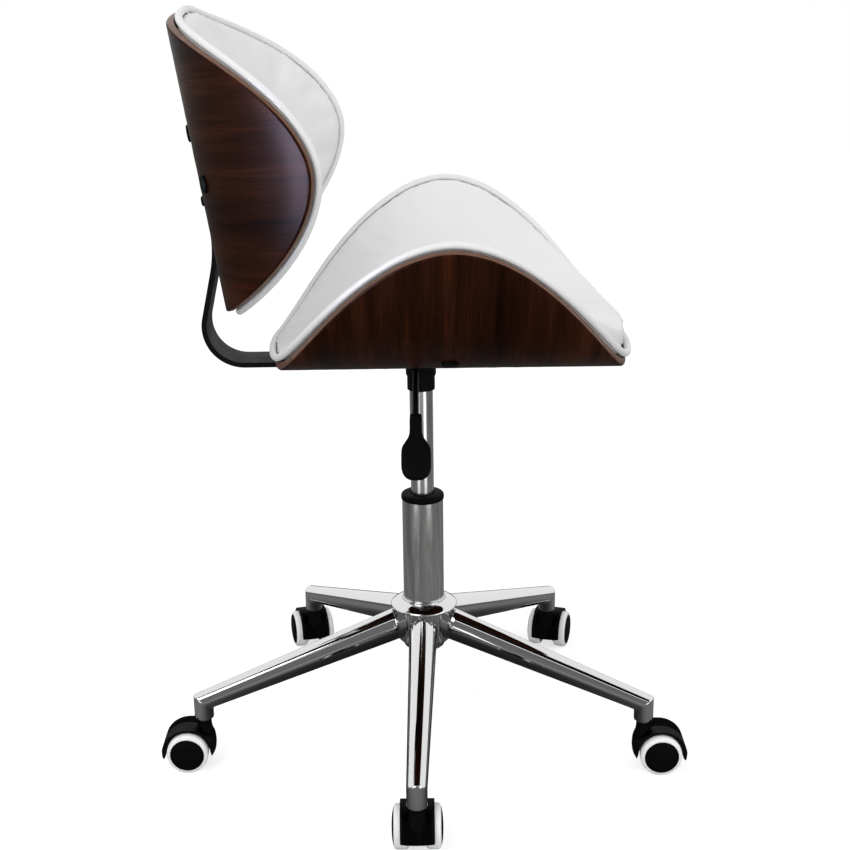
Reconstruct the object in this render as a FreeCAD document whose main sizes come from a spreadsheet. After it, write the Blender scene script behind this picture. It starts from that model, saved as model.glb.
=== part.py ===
import FreeCAD, Part
import os
import re
import Sketcher
from BOPTools import SplitAPI
from math import atan, copysign, cos, degrees, pi, radians, sin, tan

# Office chair on a five-arm base. Origin on the floor under the column, +Z up, the sitter faces -Y.
# Lengths are in millimetres, angles in degrees.

doc = FreeCAD.newDocument("office_chair")
sheet = doc.addObject("Spreadsheet::Sheet", "Sizes")

SIZES = {
    # Fits that every piece shares
    "running_clearance": 0.06,
    "seating_gap": 0.3,
    "cut_overrun": 5,
    # Five chromed arms, each a tapered oval tube that ends in a mitred socket
    "first_arm_angle": 177.9,
    "stem_circle_radius": 280,
    "arm_root_width": 33,
    "arm_root_height": 42,
    "arm_tip_diameter": 23.4,
    "arm_wall": 1.6,
    "arm_rise": 69.5,
    "socket_length": 21.2,
    # Hub with its convex cover flange and lip
    "hub_diameter": 65,
    "hub_foot": 4,
    "hub_edge": 3,
    "flange_diameter": 82,
    "flange_edge": 2,
    "flange_rise": 8,
    "lip_diameter": 54,
    "lip_height": 2,
    # Outer tube of the column, its guide bush, the bearing and clip at its foot
    "tube_diameter": 50,
    "tube_wall": 1.8,
    "tube_floor": 4,
    "tube_foot": 7,
    "tube_length": 193,
    "collar_diameter": 52,
    "collar_height": 7.6,
    "guide_length": 80,
    "bearing_diameter": 24,
    "bearing_height": 6,
    "clip_diameter": 18,
    "clip_height": 2,
    # Gas cylinder, rod and piston
    "cylinder_diameter": 28,
    "cylinder_wall": 2,
    "cylinder_overlap": 77.6,
    "rod_guide_height": 15,
    "cavity_length": 130,
    "rod_diameter": 10,
    "rod_foot": 2,
    "rod_shoulder_diameter": 16,
    "rod_shoulder_height": 3,
    "piston_height": 10,
    "lift_stroke": 105,
    "lowered_gap": 26.4,
    # Tapered seat socket, drum and plate of the mechanism
    "seat_socket_diameter": 33,
    "seat_socket_length": 15,
    "drum_diameter": 36,
    "drum_cone": 4,
    "drum_wall": 2.5,
    "drum_height": 22,
    "taper_length": 21,
    "taper_narrowing": 0.6,
    "plate_width": 120,
    "plate_depth": 150,
    "plate_thickness": 3.5,
    # Lever, its pivot and the release pin
    "release_pin_diameter": 10,
    "release_pin_length": 24,
    "lever_diameter": 7,
    "lever_offset": 6,
    "lever_pivot_reach": 38,
    "lever_reach": 190,
    "lever_slope_angle": 4,
    "lever_headroom": 1,
    "lever_travel_angle": 5,
    "lever_pin_diameter": 3,
    "tongue_length": 10,
    "tongue_width": 14,
    "ear_thickness": 3,
    "ear_length": 10,
    "paddle_droop_angle": 38,
    "paddle_length": 80,
    "paddle_neck_width": 14,
    "paddle_neck_length": 27,
    "paddle_blade_width": 31,
    "paddle_flare": 15,
    "paddle_wall": 1.5,
    "paddle_grip": 20,
    # Bent flat bar that carries the back
    "strap_width": 50,
    "strap_thickness": 6,
    "strap_front": 22,
    "strap_lean_angle": 12.9,
    "strap_lower_radius": 42,
    "strap_upper_radius": 140,
    "strap_contact": 88,
    "strap_top": 153,
    # Bent ply: both shells come from one mould
    "ply_thickness": 10,
    "mould_flat": 45,
    "mould_radius": 205,
    "mould_wall_angle": 70,
    "outline_power": 1.85,
    "seat_centre": -34,
    "seat_half_depth": 204,
    "seat_half_girth": 327,
    "back_foot": 218,
    "back_foot_rise": 68.9,
    "back_rake_angle": 8.65,
    "back_centre": 158,
    "back_half_height": 165,
    "back_half_girth": 299,
    # Padded cushions that lie in the shells
    "cushion_edge": 13,
    "seat_cushion_middle": 34,
    "back_cushion_middle": 32,
    "cushion_bulge": 3,
    "cushion_draw": 4,
    "cushion_end": 3,
    # Fasteners and caps
    "bolt_diameter": 6,
    "bolt_head_width": 10,
    "bolt_head_height": 4,
    "bolt_grip": 8,
    "plate_bolt_side": 40,
    "plate_bolt_fore": 60,
    "strap_bolt_side": 13,
    "strap_bolt_fore": 50,
    "strap_bolt_height": 117,
    "button_diameter": 12,
    "button_height": 4,
    "cap_diameter": 19,
    "cap_height": 2.5,
    "cap_bevel": 1,
    "seat_cap_side": 145,
    "seat_cap_fore": 2,
    "low_cap_side": 124,
    "low_cap_height": 149,
    "high_cap_side": 62,
    "high_cap_height": 198,
    # Twin-wheel casters
    "wheel_diameter": 50,
    "wheel_width": 21,
    "wheel_trail": 19.8,
    "web_width": 14,
    "web_gap": 0.5,
    "tyre_width": 16,
    "tyre_round": 3,
    "hub_cap_diameter": 39,
    "hub_cap_dome": 2,
    "axle_diameter": 6,
    "axle_length": 48,
    "hood_width": 38,
    "hood_gap": 1.6,
    "hood_wall": 3,
    "hood_tip_height": 17,
    "boss_diameter": 20,
    "boss_rise": 7.2,
    "stem_diameter": 11,
    "stem_upper": 16.5,
    "stem_lower": 20,
    "stem_ring_diameter": 18,
    "stem_ring_height": 1.5,
}
for row, (name, value) in enumerate(SIZES.items(), start=1):
    sheet.set("A%d" % row, name)
    sheet.set("B%d" % row, str(value))
    sheet.setAlias("B%d" % row, name)
doc.recompute()

# Way each caster trails at rest, by the number of its arm, turned from +X
CASTER_TURNS = {1: 0, 2: -90, 3: -17, 4: 15.5, 5: 90}
FULL_TURN = 360
HALF_TURN = FULL_TURN / 2
QUARTER_TURN = FULL_TURN / 4
ARM_TURN = FULL_TURN / len(CASTER_TURNS)
NODES = []


def size(name):
    """Value of one cell of the sheet."""
    return float(getattr(sheet, name))


def tied(text):
    """Formula in bare names, with each name pointed at the sheet."""
    return re.sub(r"[a-z]\w+", lambda found: "Sizes." + found.group(), text)


def worked_out(text):
    """Value of a formula in bare names."""
    return float(sheet.evalExpression(tied(text)))


def bind(item, **formulas):
    """Tie properties of an object to formulas in bare names."""
    for name, text in formulas.items():
        item.setExpression(name, tied(text))
    return item


def at(x=0, y=0, z=0, axis=(0, 0, 1), turn=0):
    """Placement at a point, turned by an angle about an axis through it."""
    return FreeCAD.Placement(FreeCAD.Vector(x, y, z), FreeCAD.Rotation(FreeCAD.Vector(*axis), turn))


def solid(kind, name, place=None, **formulas):
    """Part primitive tied to the sheet."""
    item = bind(doc.addObject("Part::" + kind, name), **formulas)
    if place:
        item.Placement = place
    return item


def join(name, pieces):
    """Pieces made into one solid."""
    item = doc.addObject("Part::MultiFuse", name)
    item.Shapes = pieces
    item.Refine = True
    return item


def carve(name, stock, tools):
    """Stock less its tools."""
    item = doc.addObject("Part::Cut", name)
    item.Base = stock
    item.Tool = tools[0] if len(tools) == 1 else join(name + "_tools", tools)
    return item


def group(name, pieces):
    """Separate solids that share one node."""
    item = doc.addObject("Part::Compound", name)
    item.Links = pieces
    return item


def node(item, label, place=None):
    """Register a finished piece under the name of its node."""
    item.Label = label
    if place:
        item.Placement = place
    NODES.append(item)
    return item


def plane(body, role):
    """Origin plane of a body."""
    return [feature for feature in body.Origin.OriginFeatures if feature.Role == role][0]


def sketch_on(body, name, role):
    """Empty sketch on an origin plane of a body."""
    sketch = body.newObject("Sketcher::SketchObject", name)
    sketch.AttachmentSupport = [(plane(body, role), "")]
    sketch.MapMode = "FlatFace"
    return sketch


def outline(body, name, role, corners):
    """Closed sketch of straight sides whose corners are tied to pairs of formulas."""
    sketch = sketch_on(body, name, role)
    points = [FreeCAD.Vector(worked_out(across), worked_out(up), 0) for across, up in corners]
    for start, end in zip(points, points[1:] + points[:1]):
        sketch.addGeometry(Part.LineSegment(start, end))
    for index, (across, up) in enumerate(corners):
        before = (index - 1) % len(corners)
        sketch.addConstraint(Sketcher.Constraint("Coincident", before, 2, index, 1))
        point = points[index]
        for kind, text, value in (("DistanceX", across, point.x), ("DistanceY", up, point.y)):
            number = sketch.addConstraint(Sketcher.Constraint(kind, -1, 1, index, 1, value))
            sketch.setExpression("Constraints[%d]" % number, tied(text))
    return sketch


def turned(name, corners):
    """Body turned about Z from corners given as radius and height."""
    body = doc.addObject("PartDesign::Body", name)
    revolution = body.newObject("PartDesign::Revolution", name + "_turn")
    sketch = outline(body, name + "_profile", "XZ_Plane", corners)
    revolution.Profile = sketch
    revolution.ReferenceAxis = (sketch, ["V_Axis"])
    revolution.Angle = FULL_TURN
    body.Tip = revolution
    return body


# Heights of the main pieces above the floor, which stack from the wheels up
axle_height = size("wheel_diameter") / 2
hood_radius = axle_height + size("hood_gap") + size("hood_wall")
hood_top = axle_height + hood_radius
boss_top = hood_top + size("boss_rise")
socket_foot = boss_top + size("stem_ring_height")
elbow_height = socket_foot + size("socket_length")
root_height = elbow_height + size("arm_rise")
hub_foot_height = root_height - size("arm_root_height") / 2 - size("hub_foot")
tube_foot_height = hub_foot_height - size("tube_foot")
bearing_foot = tube_foot_height + size("tube_floor")
tube_top = tube_foot_height + size("tube_length")
collar_top = tube_top + size("collar_height")
cylinder_foot = collar_top - size("cylinder_overlap")
seat_socket_foot = collar_top + size("lowered_gap") + size("lift_stroke")
cylinder_top = seat_socket_foot + size("taper_length")
drum_foot = seat_socket_foot + size("seat_socket_length") + size("drum_cone")
plate_foot = drum_foot + size("drum_height")
seat_height = plate_foot + size("plate_thickness")
clip_foot = tube_foot_height - size("seating_gap") - size("clip_height")
rod_end = clip_foot - size("rod_foot")

# Slope of the arms and tilt of the mitre, which halves the corner between arm and socket
arm_slope = atan(size("arm_rise") / (size("stem_circle_radius") - size("hub_diameter") / 2))
mitre_tilt = (pi / 2 - arm_slope) / 2


# Hub: a thick ring that holds the tube, with a convex flange over the roots of the arms
HUB_WALL = "arm_root_height + hub_foot"
hub = turned("hub", [
    ("tube_diameter / 2 + running_clearance", "0"),
    ("hub_diameter / 2 - hub_edge", "0"),
    ("hub_diameter / 2", "hub_edge"),
    ("hub_diameter / 2", HUB_WALL),
    ("flange_diameter / 2", HUB_WALL),
    ("flange_diameter / 2", HUB_WALL + " + flange_edge"),
    ("(flange_diameter + lip_diameter) / 4", HUB_WALL + " + flange_edge + flange_rise * 3 / 4"),
    ("lip_diameter / 2", HUB_WALL + " + flange_edge + flange_rise"),
    ("lip_diameter / 2", HUB_WALL + " + flange_edge + flange_rise + lip_height"),
    ("tube_diameter / 2 + running_clearance", HUB_WALL + " + flange_edge + flange_rise + lip_height"),
])
node(hub, "base_hub", at(z=hub_foot_height))


def ring(name, x, z, tilt, across, along):
    """Ellipse square to the line of an arm, leaned back by a tilt from level."""
    leaned = at(x, 0, z, (0, 1, 0), -degrees(tilt))
    return solid("Ellipse", name, leaned, MinorRadius=across, MajorRadius=along)


def arm(number):
    """Tapered oval tube from the hub to a mitred elbow, with the bore for a caster stem in its socket."""
    name = "arm_%d" % number
    root_x = (size("hub_diameter") - size("arm_root_width")) / 2
    root_z = root_height + (size("hub_diameter") / 2 - root_x) * tan(arm_slope)
    stem_x = size("stem_circle_radius")
    root = (name + "_root", root_x, root_z, pi / 2)
    elbow = (name + "_elbow", stem_x, elbow_height, mitre_tilt)
    skin = doc.addObject("Part::Loft", name + "_skin")
    skin.Sections = [
        ring(*root, "arm_root_width / 2", "arm_root_height / 2"),
        ring(*elbow, "arm_tip_diameter / 2", "arm_tip_diameter / 2 / %.9f" % cos(mitre_tilt)),
        ring(name + "_mouth", stem_x, socket_foot, 0, "arm_tip_diameter / 2", "arm_tip_diameter / 2"),
    ]
    core = doc.addObject("Part::Loft", name + "_core")
    core.Sections = [
        ring(root[0] + "_core", *root[1:], "arm_root_width / 2 - arm_wall",
             "arm_root_height / 2 - arm_wall"),
        ring(elbow[0] + "_core", *elbow[1:], "arm_tip_diameter / 2 - arm_wall",
             "(arm_tip_diameter / 2 - arm_wall) / %.9f" % cos(mitre_tilt)),
    ]
    for loft in (skin, core):
        loft.Solid = True
        loft.Ruled = True
    hub_space = solid("Cylinder", name + "_hub_space", Radius="hub_diameter / 2", Height="%.9f" % tube_top)
    bore = solid("Cylinder", name + "_bore", at(stem_x, 0, socket_foot - size("cut_overrun")),
                 Radius="stem_diameter / 2 + running_clearance",
                 Height="stem_upper + seating_gap + cut_overrun")
    piece = carve(name, skin, [core, hub_space, bore])
    return node(piece, "base_" + name, at(turn=size("first_arm_angle") + (number - 1) * ARM_TURN))


for number in CASTER_TURNS:
    arm(number)

# Outer tube of the column, closed by a floor that the rod passes through
node(turned("tube", [
    ("rod_diameter / 2 + running_clearance", "0"),
    ("tube_diameter / 2", "0"),
    ("tube_diameter / 2", "tube_length"),
    ("tube_diameter / 2 - tube_wall", "tube_length"),
    ("tube_diameter / 2 - tube_wall", "tube_floor"),
    ("rod_diameter / 2 + running_clearance", "tube_floor"),
]), "column_tube", at(z=tube_foot_height))

# Guide bush: a long sleeve in the tube that ends in the black collar on top of it
node(turned("bush", [
    ("cylinder_diameter / 2 + running_clearance", "0"),
    ("tube_diameter / 2 - tube_wall - running_clearance", "0"),
    ("tube_diameter / 2 - tube_wall - running_clearance", "guide_length"),
    ("collar_diameter / 2", "guide_length"),
    ("collar_diameter / 2", "guide_length + collar_height"),
    ("cylinder_diameter / 2 + running_clearance", "guide_length + collar_height"),
]), "column_bush", at(z=tube_top - size("guide_length")))

# Thrust bearing on the floor of the tube
node(turned("bearing", [
    ("rod_diameter / 2 + running_clearance", "0"),
    ("bearing_diameter / 2", "0"),
    ("bearing_diameter / 2", "bearing_height"),
    ("rod_diameter / 2 + running_clearance", "bearing_height"),
]), "thrust_bearing", at(z=bearing_foot))

# Piston rod, with the shoulder that stands on the bearing
piston_height_up = cylinder_foot + size("rod_guide_height") + size("seating_gap")
shoulder_foot = bearing_foot + size("bearing_height") + size("seating_gap") - rod_end
rod_length = piston_height_up + size("piston_height") + size("rod_foot") - rod_end
rod = solid("Cylinder", "rod", Radius="rod_diameter / 2", Height="%.9f" % rod_length)
shoulder = solid("Cylinder", "rod_shoulder", at(z=shoulder_foot), Radius="rod_shoulder_diameter / 2",
                 Height="rod_shoulder_height")
node(join("rod_with_shoulder", [rod, shoulder]), "piston_rod", at(z=rod_end))

# Retaining clip under the floor of the tube
node(turned("clip", [
    ("rod_diameter / 2 + running_clearance", "0"),
    ("clip_diameter / 2", "0"),
    ("clip_diameter / 2", "clip_height"),
    ("rod_diameter / 2 + running_clearance", "clip_height"),
]), "retaining_clip", at(z=clip_foot))

# Piston on the upper end of the rod
node(turned("piston_ring", [
    ("rod_diameter / 2 + running_clearance", "0"),
    ("cylinder_diameter / 2 - cylinder_wall - running_clearance", "0"),
    ("cylinder_diameter / 2 - cylinder_wall - running_clearance", "piston_height"),
    ("rod_diameter / 2 + running_clearance", "piston_height"),
]), "piston", at(z=piston_height_up))

# Pressure cylinder: gas space, rod guide at its foot, taper and bore for the release pin at its head
cylinder_length = "%.9f" % (cylinder_top - cylinder_foot)
pin_top = plate_foot - size("lever_headroom") - size("lever_diameter") - size("seating_gap")
pin_foot = pin_top - size("release_pin_length")
pin_travel = size("lever_pivot_reach") * tan(radians(size("lever_travel_angle")))
pin_bore_foot = "%.9f" % (pin_foot - pin_travel - size("seating_gap") - cylinder_foot)
node(turned("gas_cylinder", [
    ("rod_diameter / 2 + running_clearance", "0"),
    ("cylinder_diameter / 2", "0"),
    ("cylinder_diameter / 2", cylinder_length + " - taper_length"),
    ("cylinder_diameter / 2 - taper_narrowing", cylinder_length),
    ("release_pin_diameter / 2 + running_clearance", cylinder_length),
    ("release_pin_diameter / 2 + running_clearance", pin_bore_foot),
    ("0", pin_bore_foot),
    ("0", "rod_guide_height + cavity_length"),
    ("cylinder_diameter / 2 - cylinder_wall", "rod_guide_height + cavity_length"),
    ("cylinder_diameter / 2 - cylinder_wall", "rod_guide_height"),
    ("rod_diameter / 2 + running_clearance", "rod_guide_height"),
]), "pressure_cylinder", at(z=cylinder_foot))

# Release pin in the head of the cylinder
node(solid("Cylinder", "pin", Radius="release_pin_diameter / 2", Height="release_pin_length"),
     "release_pin", at(z=pin_foot))


# Mechanism: one welded piece of tapered socket, drum, plate, and the two ears that hold the lever's pivot
socket_and_drum = turned("socket_and_drum", [
    ("cylinder_diameter / 2 + running_clearance", "0"),
    ("seat_socket_diameter / 2", "0"),
    ("seat_socket_diameter / 2", "seat_socket_length"),
    ("drum_diameter / 2", "seat_socket_length + drum_cone"),
    ("drum_diameter / 2", "seat_socket_length + drum_cone + drum_height"),
    ("drum_diameter / 2 - drum_wall", "seat_socket_length + drum_cone + drum_height"),
    ("drum_diameter / 2 - drum_wall", "taper_length + running_clearance"),
    ("cylinder_diameter / 2 - taper_narrowing + running_clearance", "taper_length + running_clearance"),
])
socket_and_drum.Placement = at(z=seat_socket_foot)
plate = solid("Box", "plate", at(-size("plate_width") / 2, -size("plate_depth") / 2, plate_foot),
              Length="plate_width", Width="plate_depth", Height="plate_thickness")
lever_height = plate_foot - size("lever_headroom") - size("lever_diameter") / 2
lever_half = size("lever_diameter") / 2
ear_space = lever_half + size("seating_gap")
ears = []
for side, start in (("front", -ear_space - size("ear_thickness")), ("rear", ear_space)):
    ears.append(solid("Box", side + "_ear",
                      at(-size("lever_pivot_reach") - size("ear_length") / 2, size("lever_offset") + start,
                         lever_height - lever_half),
                      Length="ear_length", Width="ear_thickness",
                      Height="lever_diameter + lever_headroom"))
pivot = solid("Cylinder", "pivot",
              at(-size("lever_pivot_reach"), size("lever_offset") - ear_space - size("ear_thickness"),
                 lever_height, (1, 0, 0), -QUARTER_TURN),
              Radius="lever_pin_diameter / 2",
              Height="2 * (ear_thickness + seating_gap) + lever_diameter")
slot_fall = (size("lever_pivot_reach") - size("drum_diameter") / 2 + size("drum_wall")) * tan(
    radians(size("lever_travel_angle")))
slot_foot = lever_height - lever_half - slot_fall - size("seating_gap")
slot = solid("Box", "lever_slot",
             at(-size("drum_diameter") / 2 - size("cut_overrun"), size("lever_offset") - ear_space,
                slot_foot),
             Length="drum_diameter / 2 + cut_overrun", Width="lever_diameter + 2 * seating_gap",
             Height="%.9f" % (plate_foot - slot_foot))
plate_bolts = [(side * size("plate_bolt_side"), fore * size("plate_bolt_fore"))
               for side in (-1, 1) for fore in (-1, 1)]
strap_bolts = [(side * size("strap_bolt_side"), size("strap_bolt_fore")) for side in (-1, 1)]


def bolt_bores(name, places, foot):
    """Clearance holes for bolts that stand upright."""
    return [solid("Cylinder", "%s_bore_%d" % (name, index), at(x, y, foot),
                  Radius="bolt_diameter / 2 + running_clearance",
                  Height="strap_thickness + plate_thickness + ply_thickness + 2 * cut_overrun")
            for index, (x, y) in enumerate(places, start=1)]


body_of_drum = carve("slotted_drum", socket_and_drum, [slot])
plate_with_ears = join("plate_with_ears", [body_of_drum, plate, pivot] + ears)
node(carve("mechanism", plate_with_ears,
           bolt_bores("mechanism", plate_bolts + strap_bolts, plate_foot - size("cut_overrun"))),
     "seat_mechanism")


# Lever: a bent rod with a flat tongue over the release pin, drilled for its pivot
def rod_between(name, start, end):
    """Round rod of the lever's diameter between two points."""
    line = end - start
    item = solid("Cylinder", name, Radius="lever_diameter / 2", Height="%.9f" % line.Length)
    item.Placement = FreeCAD.Placement(start, FreeCAD.Rotation(FreeCAD.Vector(0, 0, 1), line))
    return item


def ball_at(name, point):
    """Ball that rounds a bend of the lever's rod."""
    return solid("Sphere", name, at(*point), Radius="lever_diameter / 2")


slope = radians(size("lever_slope_angle"))
droop = radians(size("paddle_droop_angle"))
inner_end = FreeCAD.Vector(0, size("lever_offset"), lever_height)
knee = FreeCAD.Vector(-size("lever_pivot_reach"), size("lever_offset"), lever_height)
run = size("lever_reach") - size("lever_pivot_reach")
paddle_root = knee + FreeCAD.Vector(-run, 0, -run * tan(slope))
paddle_way = FreeCAD.Vector(-cos(droop), 0, -sin(droop))
grip_end = paddle_root + paddle_way * size("paddle_grip")
tongue = solid("Box", "tongue",
               at(-size("tongue_length"), size("lever_offset") + lever_half - size("tongue_width"),
                  lever_height - lever_half),
               Length="tongue_length", Width="tongue_width", Height="lever_diameter / 2")
lever_stock = join("lever_stock", [
    rod_between("lever_inner", inner_end, knee),
    rod_between("lever_outer", knee, paddle_root),
    rod_between("lever_grip", paddle_root, grip_end),
    ball_at("lever_knee", knee),
    ball_at("lever_bend", paddle_root),
    tongue,
])
pivot_bore = solid("Cylinder", "pivot_bore",
                   at(-size("lever_pivot_reach"), size("lever_offset") - size("lever_diameter"),
                      lever_height, (1, 0, 0), -QUARTER_TURN),
                   Radius="lever_pin_diameter / 2 + running_clearance", Height="2 * lever_diameter")
node(carve("lever", lever_stock, [pivot_bore]), "lever_rod")

# Paddle: flat moulded grip with a narrow neck, pushed on the end of the rod
paddle_body = doc.addObject("PartDesign::Body", "paddle_body")
paddle_sketch = outline(paddle_body, "paddle_outline", "XY_Plane", [
    ("0", "-paddle_neck_width / 2"),
    ("paddle_neck_length", "-paddle_neck_width / 2"),
    ("paddle_neck_length + paddle_flare", "-paddle_blade_width / 2"),
    ("paddle_length", "-paddle_blade_width / 2"),
    ("paddle_length", "paddle_blade_width / 2"),
    ("paddle_neck_length + paddle_flare", "paddle_blade_width / 2"),
    ("paddle_neck_length", "paddle_neck_width / 2"),
    ("0", "paddle_neck_width / 2"),
])
paddle_pad = paddle_body.newObject("PartDesign::Pad", "paddle_pad")
paddle_pad.Profile = paddle_sketch
bind(paddle_pad, Length="lever_diameter + 2 * paddle_wall")
paddle_pad.Midplane = True
doc.recompute()
end_corners = ["Edge%d" % number for number, edge in enumerate(paddle_pad.Shape.Edges, start=1)
               if edge.BoundBox.XMin > size("paddle_length") - size("running_clearance")
               and edge.BoundBox.YLength < size("running_clearance")]
paddle_end = paddle_body.newObject("PartDesign::Fillet", "paddle_end")
paddle_end.Base = (paddle_pad, end_corners)
bind(paddle_end, Radius="paddle_blade_width / 2 - running_clearance")
paddle_body.Tip = paddle_end
paddle_body.Placement = FreeCAD.Placement(
    paddle_root, FreeCAD.Rotation(FreeCAD.Vector(0, 1, 0), HALF_TURN - size("paddle_droop_angle")))
paddle_space = join("paddle_space", [
    solid("Cylinder", "paddle_bore", FreeCAD.Placement(
        paddle_root, FreeCAD.Rotation(FreeCAD.Vector(0, 0, 1), paddle_way)),
        Radius="lever_diameter / 2 + running_clearance", Height="paddle_grip + seating_gap"),
    solid("Sphere", "paddle_mouth", at(*paddle_root), Radius="lever_diameter / 2 + running_clearance"),
    solid("Cylinder", "paddle_relief", FreeCAD.Placement(
        paddle_root, FreeCAD.Rotation(FreeCAD.Vector(0, 0, 1), knee - paddle_root)),
        Radius="lever_diameter / 2 + running_clearance", Height="lever_diameter"),
])
node(carve("paddle", paddle_body, [paddle_space]), "lever_paddle")


# Back: its frame has X sideways, Y up the rake and Z forward from the outer face of the ply
back_frame = at(0, size("back_foot"), seat_height + size("back_foot_rise"), (1, 0, 0),
                QUARTER_TURN - size("back_rake_angle"))
seat_frame = at(z=seat_height)


def strap_face(depth):
    """One face of the strap in side view, from foot to top, at a depth behind its front face."""
    lean, rake = radians(size("strap_lean_angle")), radians(size("back_rake_angle"))
    thick = size("strap_thickness")
    low_radius, high_radius = size("strap_lower_radius"), size("strap_upper_radius") + thick
    base = FreeCAD.Vector(size("back_foot"), seat_height + size("back_foot_rise"), 0)
    up_rake = FreeCAD.Vector(sin(rake), cos(rake), 0)
    off_rake = FreeCAD.Vector(cos(rake), -sin(rake), 0)
    off_lean = FreeCAD.Vector(cos(lean), sin(lean), 0)
    off_bend = (off_rake + off_lean).normalize()
    high_centre = base + up_rake * size("strap_contact") + off_rake * high_radius
    bend_start = high_centre - off_lean * high_radius
    low_centre_height = plate_foot + low_radius
    fall = (bend_start.y - low_centre_height - low_radius * sin(lean)) / cos(lean)
    low_centre_fore = bend_start.x + fall * sin(lean) - low_radius * cos(lean)
    low_centre = FreeCAD.Vector(low_centre_fore, low_centre_height, 0)
    sag = FreeCAD.Vector(0, -1, 0)
    off_low = (off_lean + sag).normalize()
    reach = high_radius - depth
    return [
        FreeCAD.Vector(size("strap_front"), plate_foot - depth, 0),
        low_centre + sag * (low_radius + depth),
        low_centre + off_low * (low_radius + depth),
        low_centre + off_lean * (low_radius + depth),
        high_centre - off_lean * reach,
        high_centre - off_bend * reach,
        high_centre - off_rake * reach,
        base + up_rake * size("strap_top") + off_rake * depth,
    ]


def run_of(points):
    """Line, arc, line, arc, line through eight points."""
    foot, start, low, leave, meet, high, rest, top = points
    return [Part.LineSegment(foot, start), Part.Arc(start, low, leave), Part.LineSegment(leave, meet),
            Part.Arc(meet, high, rest), Part.LineSegment(rest, top)]


# Strap: flat steel bar, bent twice, from under the mechanism's plate to the outer face of the back
strap_body = doc.addObject("PartDesign::Body", "strap_body")
strap_sketch = sketch_on(strap_body, "strap_side", "YZ_Plane")
front_face, rear_face = strap_face(0), strap_face(size("strap_thickness"))
strap_sides = run_of(front_face) + run_of(rear_face)
for edge in strap_sides + [Part.LineSegment(front_face[end], rear_face[end]) for end in (0, -1)]:
    strap_sketch.addGeometry(edge)
strap_pad = strap_body.newObject("PartDesign::Pad", "strap_pad")
strap_pad.Profile = strap_sketch
bind(strap_pad, Length="strap_width")
strap_pad.Midplane = True
strap_body.Tip = strap_pad


def back_bores(name):
    """Holes for the two screws that hold the strap to the back."""
    return [solid("Cylinder", "%s_screw_bore_%d" % (name, side),
                  back_frame * at(side * size("strap_bolt_side"), size("strap_bolt_height"),
                                  -size("strap_thickness") - size("cut_overrun")),
                  Radius="bolt_diameter / 2 + running_clearance",
                  Height="strap_thickness + ply_thickness + 2 * cut_overrun")
            for side in (-1, 1)]


foot_bores = bolt_bores("strap", strap_bolts, plate_foot - size("strap_thickness") - size("cut_overrun"))
node(carve("strap", strap_body, foot_bores + back_bores("strap")), "back_strap")


def ply_point(girth, depth, along=0):
    """Point of the bent ply from its distance round the mould, its depth from the outer face, and along."""
    side, girth = copysign(1, girth), abs(girth)
    flat, bend = size("mould_flat"), size("mould_radius")
    wall_turn = radians(size("mould_wall_angle"))
    reach = bend - depth
    if girth <= flat:
        return FreeCAD.Vector(side * girth, along, depth)
    turn = min((girth - flat) / bend, wall_turn)
    rest = max(girth - flat - bend * wall_turn, 0)
    across = flat + reach * sin(turn) + rest * cos(wall_turn)
    return FreeCAD.Vector(side * across, along, bend - reach * cos(turn) + rest * sin(wall_turn))


def mould_run(girth, depth, along):
    """Face of the mould in section: wall, bend, flat, bend and wall."""
    bend_end = size("mould_flat") + size("mould_radius") * radians(size("mould_wall_angle"))
    middle = (size("mould_flat") + bend_end) / 2
    half = [size("mould_flat"), middle, bend_end, girth]
    points = [ply_point(-place, depth, along) for place in reversed(half)]
    points += [ply_point(place, depth, along) for place in half]
    return run_of(points), points[0], points[-1]


def wire_of(edges):
    """Closed wire from edges that follow each other."""
    return Part.Wire([edge.toShape() for edge in edges])


def bent_shell(centre, half, half_girth):
    """Bent ply cut square to its face along a rounded oval that is drawn on the flat sheet."""
    over, ply, power = size("cut_overrun"), size("ply_thickness"), size("outline_power")
    start = centre - half - over
    outer, outer_left, outer_right = mould_run(half_girth + over, 0, start)
    inner, inner_left, inner_right = mould_run(half_girth + over, ply, start)
    rim = [Part.LineSegment(outer_right, inner_right), Part.LineSegment(outer_left, inner_left)]
    sheet_edges = Part.__sortEdges__([edge.toShape() for edge in outer + inner + rim])
    stock = Part.Face(Part.Wire(sheet_edges)).extrude(FreeCAD.Vector(0, 2 * (half + over), 0))
    rings = []
    for depth in (-over, ply + over):
        points = []
        for step in range(OUTLINE_STEPS):
            turn = 2 * pi * step / OUTLINE_STEPS
            across = half_girth * copysign(abs(cos(turn)) ** (2 / power), cos(turn))
            along = half * copysign(abs(sin(turn)) ** (2 / power), sin(turn))
            points.append(ply_point(across, depth, centre + along))
        curve = Part.BSplineCurve()
        curve.interpolate(points, PeriodicFlag=True)
        rings.append(Part.Wire(curve.toShape()))
    knife = Part.makeLoft(rings, False, True)
    pieces = SplitAPI.slice(stock, [knife], "Split").Solids
    heart = FreeCAD.Vector(0, centre, ply / 2)
    return [piece for piece in pieces if piece.isInside(heart, size("running_clearance"), True)][0]


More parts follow.
